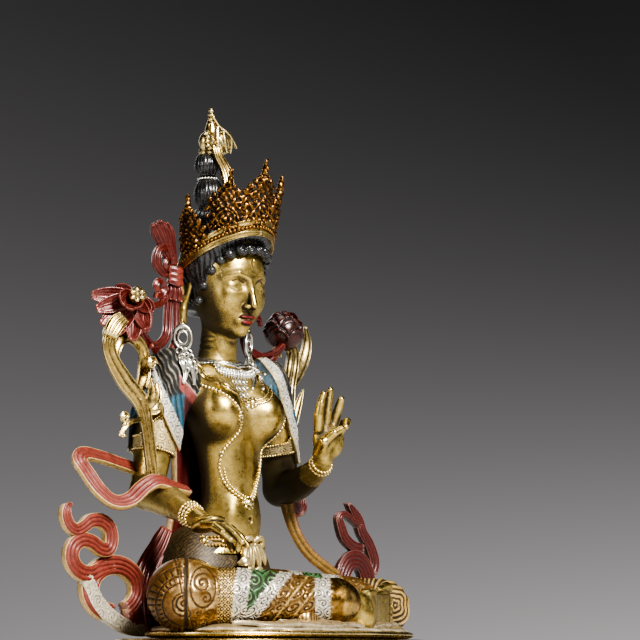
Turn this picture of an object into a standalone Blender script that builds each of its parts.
"""Seated Tara figure, painted gilt brass, on a low lotus base.

Two castings: the figure with all that is cast on it, and the base that it sits on.
Lengths in this file are millimetres in the seat frame: +Z up, the figure faces -Y, its
right hand is on -X, and Z = 0 is the top of the base under the body's axis.
place() turns them into metres with the origin in the middle of the base's underside.
"""

import math

import bmesh
import bpy
from mathutils import Matrix, Vector

# Driving dimensions, mm
BASE_HEIGHT = 42.0
BASE_SEMI_X = 108.0
BASE_SEMI_Y = 74.0
BASE_CENTRE_Y = -36.0
BASE_PETALS = 16
BASE_SIDES = 28
PETAL_INSET = 10.5
SEAT_GAP = 0.3
FIGURE_HEIGHT = 294.0
KNEE_REACH = 82.0
SHOULDER_WIDTH_LOW = 12.5
SHOULDER_WIDTH_HIGH = 10.0
CROWN_TILT = math.radians(36)
CROWN_RADIUS = 23.0
CROWN_FLARE = 0.17
CROWN_LEAVES = 5
CROWN_SIDES = 14
CROWN_STEP = math.radians(47)
HEAD_TURN = math.radians(-7)
HEAD_NOD = math.radians(10)
HEAD_CENTRE = Vector((0, -0.5, 197))
FAN_TOP = 229.0
FINGERS_LOWERED = 3
TOES = 5
FLOWER_PETALS = 7
APRON_FOLDS = 6
NEAR_SCARF_DEPTH = 4.0
FAR_SCARF_DEPTH = -12.0
SCARF_FLAT = (0, 1, 0)
MM = 0.001
# Neighbouring faces closer to one plane than this become one face
FLAT_ENOUGH = math.radians(6)


def place(point):
    """A point of the seat frame, in mm, as metres from the middle of the underside."""
    x, y, z = point
    return Vector((x, y - BASE_CENTRE_Y, z + BASE_HEIGHT)) * MM


def clear_scene():
    for obj in list(bpy.data.objects):
        bpy.data.objects.remove(obj)


def metal(name, colour, roughness):
    material = bpy.data.materials.new(name)
    material.use_nodes = True
    shader = material.node_tree.nodes["Principled BSDF"]
    shader.inputs["Base Color"].default_value = (*colour, 1)
    shader.inputs["Metallic"].default_value = 1.0
    shader.inputs["Roughness"].default_value = roughness
    return material


def smooth(points, steps=3):
    """Points on a smooth curve through the given ones, with steps from each to the next."""
    rows = [Vector(p) for p in points]
    rows = [2 * rows[0] - rows[1], *rows, 2 * rows[-1] - rows[-2]]
    out = []
    for i in range(1, len(rows) - 2):
        a, b, c, d = rows[i - 1 : i + 3]
        for k in range(steps):
            t = k / steps
            cubic = -a + 3 * b - 3 * c + d
            square = 2 * a - 5 * b + 4 * c - d
            out.append(0.5 * (2 * b + (c - a) * t + square * t * t + cubic * t**3))
    return [*out, rows[-2]]


def spread(values, count):
    """A short list of sizes, stretched evenly over count places."""
    if len(values) == 1:
        return list(values) * count
    out = []
    for i in range(count):
        at = i * (len(values) - 1) / (count - 1)
        low = min(int(at), len(values) - 2)
        out.append(values[low] + (values[low + 1] - values[low]) * (at - low))
    return out


def skins(builder):
    """The faces of each skin that hangs together, as lists."""
    left = set(builder.faces)
    found = []
    while left:
        skin = []
        edge = [left.pop()]
        while edge:
            face = edge.pop()
            skin.append(face)
            for near in {f for e in face.edges for f in e.link_faces} & left:
                left.discard(near)
                edge.append(near)
        found.append(skin)
    return found


def skin_volume(skin):
    """The volume inside a skin, negative where its faces point inwards, as in a pocket."""
    total = 0.0
    for face in skin:
        corners = [v.co for v in face.verts]
        for b, c in zip(corners[1:], corners[2:]):
            total += corners[0].dot(b.cross(c)) / 6
    return total


class Casting:
    """Collects overlapping closed shapes and joins them into one solid."""

    def __init__(self, name):
        self.name = name
        self.parts = bpy.data.collections.new(name + "_shapes")
        bpy.context.scene.collection.children.link(self.parts)
        self.first = None

    def add(self, mesh_builder):
        """Keeps one closed shape: the first one carries the others' union."""
        bmesh.ops.recalc_face_normals(mesh_builder, faces=mesh_builder.faces)
        for vertex in mesh_builder.verts:
            vertex.co = place(vertex.co)
        count = len(self.parts.objects) + 1
        mesh = bpy.data.meshes.new(f"{self.name}_{count}")
        mesh_builder.to_mesh(mesh)
        mesh_builder.free()
        name = f"{self.name}_shape_{count}"
        if self.first is None:
            self.first = bpy.data.objects.new(self.name, mesh)
            bpy.context.scene.collection.objects.link(self.first)
            return
        shape = bpy.data.objects.new(name, mesh)
        shape.hide_render = True
        shape.display_type = "WIRE"
        self.parts.objects.link(shape)

    def loft(self, rings):
        """A closed shape through rings of points, capped flat at both ends."""
        builder = bmesh.new()
        rows = [[builder.verts.new(p) for p in ring] for ring in rings]
        count = len(rows[0])
        for lower, upper in zip(rows, rows[1:]):
            for i in range(count):
                j = (i + 1) % count
                builder.faces.new((lower[i], lower[j], upper[j], upper[i]))
        builder.faces.new(rows[0][::-1])
        builder.faces.new(rows[-1])
        self.add(builder)

    def sweep(self, path, wide, thick=None, sides=8, across=None):
        """An oval bar along a path. wide and thick are lists of half sizes, and across
        is the direction that wide is measured in."""
        count = len(path)
        wide = spread(wide, count)
        thick = wide if thick is None else spread(thick, count)
        across = Vector(across) if across else Vector((0.31, 0.77, 0.55))
        phase = math.pi / 4 if sides == 4 else 0.0
        reach = math.sqrt(2) if sides == 4 else 1.0
        rings = []
        for i, centre in enumerate(path):
            ahead = path[min(i + 1, count - 1)] - path[max(i - 1, 0)]
            ahead.normalize()
            side = across - across.dot(ahead) * ahead
            side.normalize()
            up = ahead.cross(side)
            ring = []
            for k in range(sides):
                angle = phase + 2 * math.pi * k / sides
                offset = side * (wide[i] * reach * math.cos(angle))
                offset += up * (thick[i] * reach * math.sin(angle))
                ring.append(centre + offset)
            rings.append(ring)
            if across.length and i:
                across = side
        self.loft(rings)

    def ball(self, centre, radii, segments=10, rows=6, turn=None):
        """An egg shape with half sizes radii, turned by a matrix."""
        builder = bmesh.new()
        bmesh.ops.create_uvsphere(builder, u_segments=segments, v_segments=rows, radius=1)
        size = Matrix.Diagonal((*radii, 1))
        turn = (turn or Matrix.Identity(3)).to_4x4()
        move = Matrix.Translation(centre) @ turn @ size
        bmesh.ops.transform(builder, matrix=move, verts=builder.verts)
        self.add(builder)

    def plate(self, outline, back, front):
        """A flat leaf: its outline, moved by the vectors back and front."""
        rings = [[p + back for p in outline], [p + front for p in outline]]
        self.loft(rings)

    def finish(self, material):
        """Joins the shapes into one skin and fills the small pockets left between them."""
        union = self.first.modifiers.new("union", "BOOLEAN")
        union.operand_type = "COLLECTION"
        union.collection = self.parts
        union.operation = "UNION"
        union.solver = "EXACT"
        graph = bpy.context.evaluated_depsgraph_get()
        joined = bpy.data.meshes.new_from_object(self.first.evaluated_get(graph))
        self.first.modifiers.clear()
        self.first.data = joined
        builder = bmesh.new()
        builder.from_mesh(joined)
        pockets = [f for skin in skins(builder) if skin_volume(skin) < 0 for f in skin]
        bmesh.ops.delete(builder, geom=pockets, context="FACES")
        bmesh.ops.dissolve_limit(
            builder, angle_limit=FLAT_ENOUGH, verts=builder.verts, edges=builder.edges
        )
        bmesh.ops.triangulate(builder, faces=builder.faces)
        builder.to_mesh(joined)
        builder.free()
        joined.materials.clear()
        joined.materials.append(material)
        for shape in list(self.parts.objects):
            bpy.data.objects.remove(shape)
        return self.first


def oval(z, half_x, half_y, centre_y, sides):
    ring = []
    for k in range(sides):
        angle = 2 * math.pi * (k + 0.5) / sides
        ring.append(Vector((half_x * math.cos(angle), centre_y + half_y * math.sin(angle), z)))
    return ring


# Body

# Height, half width, half depth and middle of each ring from the seat to the neck
TORSO = [
    (SEAT_GAP, 41, 28, 2),
    (20, 39, 26, 1),
    (40, 33, 22, 0),
    (55, 25, 17, -2),
    (68, 21, 14.5, -3),
    (80, 19.5, 14, -3.5),
    (98, 22.5, 16, -2.5),
    (116, 27.5, 18, -1),
    (130, 31, 17, 0.5),
    (141, 30, 15, 2),
    (149, 20, 12, 4.5),
    (154, 11, 10.5, 5),
    (172, 9.8, 9.8, 3),
]


def torso(cast):
    cast.loft([oval(z, wide, deep, y, 12) for z, wide, deep, y in TORSO])
    for side in (-1, 1):
        cast.ball((side * 18, -13.5, 125), (11.5, 11.5, 11.5), 8, 6)


def head_turn():
    return Matrix.Rotation(HEAD_TURN, 3, "Z") @ Matrix.Rotation(HEAD_NOD, 3, "X")


def head(cast):
    turn = head_turn()
    cast.ball(HEAD_CENTRE, (21.5, 26, 31), 12, 8, turn)
    cast.ball(HEAD_CENTRE + turn @ Vector((0, -12, -15)), (13, 12.5, 15), 8, 6, turn)
    for side in (-1, 1):
        ear = [Vector((side * 21.5, 8, z)) for z in (4, -10, -24)]
        ear = [HEAD_CENTRE + turn @ p for p in ear]
        cast.sweep(ear, [3.2, 3.4, 2.6], [1.8], 6, turn @ Vector((0, 1, 0)))
        cast.ball(ear[-1] + Vector((side * 0.6, 0.2, -5)), (2.2, 5.2, 6.8), 8, 4, turn)


def band_point(angle, radius, rise):
    """A point of the crown's band, which stands higher over the brow than at the back."""
    tilt = math.cos(angle) * math.tan(CROWN_TILT) * CROWN_RADIUS
    across = radius * math.sin(angle)
    depth = -2.5 - radius * math.cos(angle)
    return HEAD_CENTRE + head_turn() @ Vector((across, depth, 15.5 + tilt + rise))


def crown_leaf(cast, angle, height):
    """One pointed leaf of the crown, leaning outwards from the band."""
    turn = head_turn()
    out = turn @ Vector((math.sin(angle), -math.cos(angle), 0))
    side = turn @ Vector((math.cos(angle), math.sin(angle), 0))
    foot = band_point(angle, CROWN_RADIUS, 0)
    lean = (out * CROWN_FLARE + Vector((0, 0, 1))).normalized()
    shape = [(-8.5, 0), (8.5, 0), (11.5, 10), (9.5, 18), (4, 23), (2, 25)]
    shape += [(1.6, height), (-1.6, height), (-2, 25), (-4, 23), (-9.5, 18), (-11.5, 10)]
    outline = [foot + side * x * 0.92 + lean * y for x, y in shape]
    face = side.cross(lean)
    cast.plate(outline, face * -1.9, face * 1.9)


def crown(cast):
    rings = []
    for grow, drop in ((-5, -3.5), (1.2, -3), (1.8, 3.5), (-5, 4.0)):
        radius = CROWN_RADIUS + grow
        turns = [2 * math.pi * k / CROWN_SIDES for k in range(CROWN_SIDES)]
        rings.append([band_point(turn, radius, drop) for turn in turns])
    cast.loft(rings)
    middle = (CROWN_LEAVES - 1) / 2
    for k in range(CROWN_LEAVES):
        crown_leaf(cast, (k - middle) * CROWN_STEP, 38 - 1.5 * abs(k - middle))


def topknot(cast):
    """Two balls of wound hair behind the crown, with the jewel and its stem above them."""
    cast.ball((-1, 8, 228), (14, 14, 11), 10, 6)
    cast.ball((-1.5, 9, 246), (8.0, 8.0, 10), 8, 6)
    cast.ball((-2, 9.5, 262.5), (7.2, 7.2, 8.0), 8, 6)
    jewel = [(-2, 8.5, 266), (-1, 6.5, 275), (-1, 6, 284), (-1.5, 6.5, FIGURE_HEIGHT)]
    widths = [4, 7.2, 7.5, 4.5, 3, 1.2]
    depths = [3.2, 5.4, 5.2, 3.6, 2.6, 1.2]
    cast.sweep(smooth(jewel, 2), widths, depths, 8, (1, -0.4, 0))
    stem = smooth([(0, 4, 274), (2, -1, 266), (2.5, -3, 254), (0, -4, 243)], 2)
    cast.sweep(stem, [1.7], [1.3], 6)


# Shoulders and arms

RIGHT_ARM = [(-43, 4, 140), (-48.5, 5, 118), (-53, 5, 97), (-57, 5, 79)]
RIGHT_FOREARM = [(-57, 5, 78), (-63, -12, 74.5), (-69, -28, 69), (-73, -42, 64)]
LEFT_ARM = [(43, 4, 140), (49, 5, 120), (53.5, 5, 102), (56, 4.5, 85)]
LEFT_FOREARM = [(56, 4.5, 84), (50.5, -11, 86), (43.5, -28, 91), (37, -41, 97)]


def arms(cast):
    for upper, fore in ((RIGHT_ARM, RIGHT_FOREARM), (LEFT_ARM, LEFT_FOREARM)):
        cast.sweep(smooth(upper, 2), [13.5, 12.5, 10.5, 9.6, 9.4], None, 10, (0, 1, 0))
        cast.ball(fore[0], (9.2, 9.6, 9.2), 8, 6)
        cast.sweep(smooth(fore, 2), [9.4, 9.4, 7.8, 6.0, 5.2], None, 8, (0, 0, 1))


# The cloth behind the body in plan: across as a share of its half width, and depth in mm
CAPE_BACK = [(x, y) for xs, y in (((-1, 0, 1), -2), ((1, 0, -1), 2)) for x in xs]


def cape(cast):
    """The stole that lies on each shoulder and hangs to a point outside the arm."""
    for side in (-1, 1):
        rows = [(151, 13, 3, 12.5), (146, 28, 3.5, 16), (138, 38.5, 4, 17), (124, 45, 4.5, 17)]
        rows += [(109, 49.5, 5, 15), (99, 53, 5, 12.5)]
        rings = []
        for z, x, y, deep in rows:
            wide = SHOULDER_WIDTH_LOW if z < 140 else SHOULDER_WIDTH_HIGH
            ring = []
            for k in range(8):
                angle = 2 * math.pi * (k + 0.5) / 8
                reach = side * (x + wide * math.cos(angle))
                droop = 2.8 * abs(math.cos(angle))
                ring.append(Vector((reach, y + deep * math.sin(angle), z - droop)))
            rings.append(ring)
        cast.loft(rings)
    back = []
    for z, half, y in ((146, 30, 13), (125, 29, 17), (100, 27, 16), (75, 27, 15), (50, 30, 20)):
        back.append([Vector((x * half, y + dy - 3 * abs(x), z)) for x, dy in CAPE_BACK])
    cast.loft(back)


def finger(cast, points, radius):
    cast.sweep(smooth(points, 2), [radius, radius, radius * 0.7], None, 5)


def right_hand(cast):
    """Lowered over the knee with the palm outwards, thumb and first finger nearly meeting."""
    palm = smooth([(-73, -41, 64), (-74, -51, 60.5), (-75, -59, 57)], 2)
    cast.sweep(palm, [5.4, 8.5, 8.8], [4.2, 4.4, 3.4], 8, (1, 0, 0.1))
    for k in range(FINGERS_LOWERED):
        x = -81.5 + 4.6 * k
        knuckle = Vector((x, -57, 57.5))
        tip = knuckle + Vector((0.8 * k - 0.5, -19 + 1.2 * abs(k - 1), -6.5 - 1.0 * k))
        finger(cast, [knuckle, (knuckle + tip) / 2 + Vector((0, 0, 1.4)), tip], 2.3)
    finger(cast, [(-68, -57, 56.5), (-66, -65, 51), (-66.5, -64, 44)], 2.3)
    finger(cast, [(-67, -47, 61), (-62, -53, 53), (-65.5, -60, 44)], 2.5)


def left_hand(cast):
    """Raised, palm forwards, thumb and third finger meeting."""
    palm = smooth([(37, -41, 96), (38.5, -43, 106), (39, -43.5, 117)], 2)
    cast.sweep(palm, [5.4, 8.6, 9.2], [4.4, 4.6, 3.8], 8, (1, -0.35, 0))
    finger(cast, [(33, -41.5, 116), (32.5, -43.5, 126), (34, -44, 135)], 2.3)
    finger(cast, [(37.5, -43, 117), (37.5, -44.5, 128), (38.5, -44.5, 138.5)], 2.4)
    finger(cast, [(42, -44.5, 117), (43, -50.5, 124), (40.5, -54.5, 118)], 2.3)
    finger(cast, [(46, -45.5, 115), (49, -50, 123), (49.5, -52, 130)], 2.0)
    finger(cast, [(31.5, -42, 103), (30, -50, 110), (37.5, -54.5, 116)], 2.5)


# Legs

def legs(cast):
    for side, thick, rise in ((-1, 18.5, 5), (1, 15.5, 0)):
        knee = Vector((side * (KNEE_REACH + rise), -46, 18 + rise))
        thigh = [Vector((side * 20, 4, 21)), Vector((side * 52, -21, 19 + rise)), knee]
        widths = [19.5, 19, thick + 1.5, thick + 0.5, thick - 2]
        cast.sweep(smooth(thigh, 2), widths, None, 10, (0, 0, 1))
        cast.ball(knee, (thick, thick, thick), 10, 6)
    right_shin = smooth([(-84, -46, 21), (-46, -70, 21), (-6, -87, 20)], 3)
    cast.sweep(right_shin, [16.5, 16.5, 13.5, 11, 9], None, 10, (0, 0, 1))
    left_shin = smooth([(84, -46, 13), (40, -64, 12), (-30, -80, 9)], 2)
    cast.sweep(left_shin, [12, 11.5, 9.5, 8], None, 8, (0, 0, 1))


def right_foot(cast):
    foot = smooth([(-6, -86, 18), (8, -93.5, 11), (26, -86, 14), (41, -79, 17.5)], 2)
    cast.sweep(foot, [7, 9.5, 10, 11, 12, 11], [7, 7.5, 6, 5, 4.2, 3.6], 8, (0.1, 0.2, 1))
    for k in range(TOES):
        toe = Vector((42.5 + 0.6 * k, -78.5, 27 - 4.9 * k))
        size = 3.2 - 0.3 * k
        cast.ball(toe, (size + 1.8, size, size), 6, 4)


def seat_cloth(cast):
    """The cloth that spreads under the legs, and the fan of folds in front of them."""
    rings = []
    for z, grow in ((SEAT_GAP, 0), (3.6, 2.5), (6.5, -4)):
        ring = []
        for k in range(24):
            angle = 2 * math.pi * k / 24
            x = (91 + grow) * math.cos(angle)
            y = -42 + (57 + grow) * math.sin(angle)
            ring.append(Vector((x, y, z)))
        rings.append(ring)
    cast.loft(rings)
    for k in range(APRON_FOLDS):
        x = -66 + 13 * k
        root = Vector((x + 3, -64 - 1.7 * k, 8))
        tip = Vector((x, -84 - 2.1 * k, 6.0))
        fold = [root, (root + tip) / 2 + Vector((0, 0, 1)), tip]
        cast.sweep(fold, [5.5, 7.5, 6.5], [4, 4, 2.6], 6, (1, 0, 0))


def belt(cast):
    profile = ((50, 29, 20.5), (51, 31, 22), (56, 28.5, 20), (57, 26, 18))
    cast.loft([oval(z, x, y, -1.5, 12) for z, x, y in profile])
    drape = [Vector((0, -20, 54)), Vector((0, -25, 44)), Vector((0, -28, 34))]
    cast.sweep(drape, [7, 7.5, 4], [3, 3.5, 3], 6, (1, 0, 0))


# Scarves: flat bands that stand on edge and coil beside the knees

def arc(centre, radius_x, radius_z, start, end, y, steps):
    """Points on an oval arc that stands upright at depth y, angles in degrees."""
    points = []
    for k in range(steps + 1):
        angle = math.radians(start + (end - start) * k / steps)
        x = centre[0] + radius_x * math.cos(angle)
        points.append(Vector((x, y, centre[1] + radius_z * math.sin(angle))))
    return points


def upright(points, y):
    """Points given as (x, z) pairs, stood up at depth y and smoothed."""
    return smooth([(x, y, z) for x, z in points], 2)


def near_scarf(cast):
    """Band from the right hip: a ring on the seat, two coils climbing outwards and a curled tip."""
    hip = smooth([(-36, 14, 66), (-46, 12, 44), (-53, 8, 22), (-58, 5, 5)], 2)
    cast.sweep(hip, [6, 5.5, 5], [4.5, 4, 3.5], 6, SCARF_FLAT)
    ring = arc((-80, 23), 17.5, 16.5, -40, 290, NEAR_SCARF_DEPTH, 12)
    cast.sweep(ring, [3.6], [5.2], 4, SCARF_FLAT)
    hem = upright([(-60, 6.5), (-76, 4.6), (-93, 9.5), (-103.5, 21), (-105, 33)], NEAR_SCARF_DEPTH)
    cast.sweep(hem, [3.0], [3.2, 3.6, 4.4, 4.0, 3.2], 4, SCARF_FLAT)
    coil = [(-97, 33), (-110, 34.5), (-120, 42), (-118, 51), (-108, 52), (-99, 46)]
    coil = upright(coil, NEAR_SCARF_DEPTH)
    cast.sweep(coil, [3.2], [3.4, 4.2, 3.6], 4, SCARF_FLAT)
    upper = [(-101, 43.5), (-91, 47.5), (-90.5, 57), (-99, 61), (-108, 56), (-112, 54)]
    upper = upright(upper, NEAR_SCARF_DEPTH)
    cast.sweep(upper, [3.0], [4.0, 3.8, 3.4], 4, SCARF_FLAT)
    tip = upright([(-108, 56), (-117, 56.5), (-123.5, 62), (-121.5, 69.5)], NEAR_SCARF_DEPTH)
    cast.sweep(tip, [2.8], [3.4, 3.4, 1.6], 4, SCARF_FLAT)


def far_scarf(cast):
    """Band from the left arm: it falls to the thigh, arches up beyond it and ends in a hook."""
    arch = arc((100, 31), 14, 17, -50, 225, FAR_SCARF_DEPTH, 12)
    cast.sweep(arch, [3.4], [4.6], 4, SCARF_FLAT)
    foot = upright([(91, 20), (84, 23), (75, 27)], FAR_SCARF_DEPTH)
    cast.sweep(foot, [3.4], [4.2], 4, SCARF_FLAT)
    upper = [(112, 38), (114.5, 50), (108, 59), (96, 66), (87.5, 71), (92, 76), (98, 71)]
    upper = upright(upper, FAR_SCARF_DEPTH)
    cast.sweep(upper, [3.0], [3.0, 4.0, 3.6, 3.2, 2.2], 4, SCARF_FLAT)
    loop = upright([(102, 49), (92, 52.5), (87, 59), (91, 65)], FAR_SCARF_DEPTH)
    cast.sweep(loop, [2.8], [3.4, 3.2, 3.0], 4, SCARF_FLAT)
    fall = smooth([(57, 4, 92), (63, 2, 74), (70, -3, 54), (80, -9, 38), (88, -12, 31)], 2)
    cast.sweep(fall, [4.6, 4.0, 3.4], [2.0, 2.4, 3.4], 4, (0.2, 1, 0))
    stub = smooth([(60, 4, 80), (72, 8, 72), (80, 10, 73)], 2)
    cast.sweep(stub, [3.6, 3.2, 2.2], [2.6, 3.0, 2.0], 4, SCARF_FLAT)


def elbow_loop(cast):
    """The band that leaves the right forearm, loops out wide and comes back behind the arm."""
    loop = smooth(
        [
            (-50, -16, 79),
            (-64, -15, 81.5),
            (-76, -12, 74),
            (-87, -9, 67.5),
            (-99, -5, 70),
            (-110, -1, 80),
            (-113, 3, 90),
            (-104, 7, 97),
            (-86, 10, 94.5),
            (-68, 12, 90.5),
            (-55, 11, 89),
        ],
        2,
    )
    cast.sweep(loop, [3.8, 4.4, 4.4, 4.2, 3.8], [2.8, 3.0, 3.2, 3.2, 2.8], 4, (0, 1, 0.15))


def bow(cast, side):
    """The knotted ribbon beside each ear, with its fan, loop and long tail."""
    def at(x, y, z):
        return Vector((side * x, y, z))

    flat = (0.2, 1, 0)
    fan = [at(26, 15, 200), at(28, 15.5, 211), at(31, 16, 220), at(34, 16.5, FAN_TOP)]
    cast.sweep(fan, [3.0, 3.2, 3.0, 2.4], [3.6, 6.2, 6.4, 1.6], 4, flat)
    loop = [at(26, 14, 198), at(35, 15, 200), at(37.5, 15, 206), at(32, 15, 210), at(26, 15, 208)]
    loop = smooth(loop, 2)
    cast.sweep(loop, [2.6], [2.6], 4, flat)
    cast.ball(at(25, 13.5, 195), (4.6, 4.6, 5.5), 6, 4)
    cast.sweep([at(12, 9, 195), at(25, 13.5, 195)], [3.4], None, 5)
    tail = [at(25.5, 14, 194), at(26, 14, 178), at(27.5, 12, 163)]
    tail = smooth([*tail, at(38, 10, 157), at(49, 8, 158), at(57, 6, 165)], 2)
    cast.sweep(tail, [2.8], [3.8, 3.8, 3.6, 3.0, 3.0], 4, flat)
    curl = smooth([at(28, 14, 190), at(36, 13, 186), at(41, 12, 190), at(40, 12, 196)], 2)
    cast.sweep(curl, [2.2], [2.6, 2.4, 1.6], 4, flat)


# Lotus stems beside the shoulders

def near_lotus(cast):
    stem = [(-63, -4, 82), (-67, -5, 98), (-69, -3, 116), (-71, 0, 126)]
    stem += [(-81, 3, 137), (-92, 4, 149), (-93, 4, 160), (-86, 3, 168)]
    cast.sweep(smooth(stem, 2), [3.2, 3.4, 3.6, 4.2, 4.0, 3.2], None, 5)
    leaf = [(-74, 2, 130), (-70, 3, 141), (-63, 4, 150), (-63, 4, 158)]
    leaf += [(-74, 4, 162), (-86, 4, 154), (-84, 4, 140)]
    cast.sweep(smooth(leaf, 2), [2.6, 3.2, 3.2, 2.4], [2.0], 4, (0, 1, 0))
    for reach, rise in ((-84, 12), (-80, -8), (-58, 14)):
        root = Vector((-67, -2, 120))
        tip = Vector((reach, 0, 120 + rise))
        path = [root, (root + tip) / 2 + Vector((0, -1, 3)), tip]
        cast.sweep(path, [3, 3, 1.4], [2.2, 2.2, 1.2], 6, (0, 0, 1))
    middle = Vector((-81, 1, 172))
    cast.ball(middle, (9, 8, 8), 8, 6)
    for k in range(FLOWER_PETALS):
        angle = math.radians(20 + 360 * k / FLOWER_PETALS)
        out = Vector((math.cos(angle), -0.35, math.sin(angle)))
        centre = middle + out * 12 + Vector((0, 1.5, 0))
        turn = Matrix.Rotation(-angle, 3, "Y")
        cast.ball(centre, (10.5, 4.2, 7.5), 6, 4, turn)
    cast.ball(middle + Vector((2, -9, 5)), (5, 4, 5), 8, 4)


def far_lotus(cast):
    stem = [(61, 0, 88), (65, 3, 104), (66, 8, 128), (72, 10, 148), (74, 11, 162), (68, 10, 168)]
    cast.sweep(smooth(stem, 2), [3.2, 3.4, 3.4, 3.2], None, 5)
    cast.ball((66, 10, 174), (11.5, 11.5, 11), 10, 6)
    leaf = smooth([(74, 10, 150), (84, 11, 160), (88, 11, 172), (85, 11, 180)], 2)
    cast.sweep(leaf, [3, 4, 1.4], [2, 2.4, 1.2], 6, (0, 1, 0))
    inner = smooth([(68, 9, 140), (58, 9, 150), (53, 9, 160), (57, 9, 164)], 2)
    cast.sweep(inner, [3, 3, 1.8], [2], 6, (0, 1, 0))


def figure(material):
    cast = Casting("figure")
    torso(cast)
    head(cast)
    crown(cast)
    topknot(cast)
    arms(cast)
    cape(cast)
    right_hand(cast)
    left_hand(cast)
    legs(cast)
    right_foot(cast)
    seat_cloth(cast)
    belt(cast)
    near_scarf(cast)
    far_scarf(cast)
    elbow_loop(cast)
    bow(cast, -1)
    bow(cast, 1)
    near_lotus(cast)
    far_lotus(cast)
    return cast.finish(material)


# Base

# Height above the floor, and how far the profile stands in from the widest oval
BASE_PROFILE = [
    (0, 2),
    (4, 0),
    (7, 1.5),
    (9, 8),
    (18, 13),
    (26, 11),
    (33, 6.5),
    (36, 6),
    (39, 4),
    (42, 6),
]


def lotus_base(material):
    cast = Casting("lotus_base")
    rings = []
    for z, inset in BASE_PROFILE:
        half_x = BASE_SEMI_X - inset
        half_y = BASE_SEMI_Y - inset
        rings.append(oval(z - BASE_HEIGHT, half_x, half_y, BASE_CENTRE_Y, BASE_SIDES))
    cast.loft(rings)
    for k in range(BASE_PETALS):
        petal(cast, 2 * math.pi * k / BASE_PETALS, 12, 35, 3.0)
    return cast.finish(material)


def petal(cast, angle, foot_z, tip_z, bulge):
    """One lotus petal of the base, round in front, lying against its wall."""
    out = Vector((math.cos(angle) * BASE_SEMI_Y, math.sin(angle) * BASE_SEMI_X, 0)).normalized()
    middle_z = (foot_z + tip_z) / 2
    x = (BASE_SEMI_X - PETAL_INSET) * math.cos(angle)
    y = BASE_CENTRE_Y + (BASE_SEMI_Y - PETAL_INSET) * math.sin(angle)
    centre = Vector((x, y, middle_z - BASE_HEIGHT)) + out * bulge * 0.5
    turn = Matrix.Rotation(math.atan2(out.y, out.x), 3, "Z")
    half_height = abs(tip_z - foot_z) / 2 + 2.5
    cast.ball(centre, (4.5 + bulge, 14.0, half_height), 6, 4, turn)


def main():
    clear_scene()
    brass = metal("gilt brass", (0.62, 0.46, 0.18), 0.34)
    figure(brass)
    lotus_base(brass)


main()
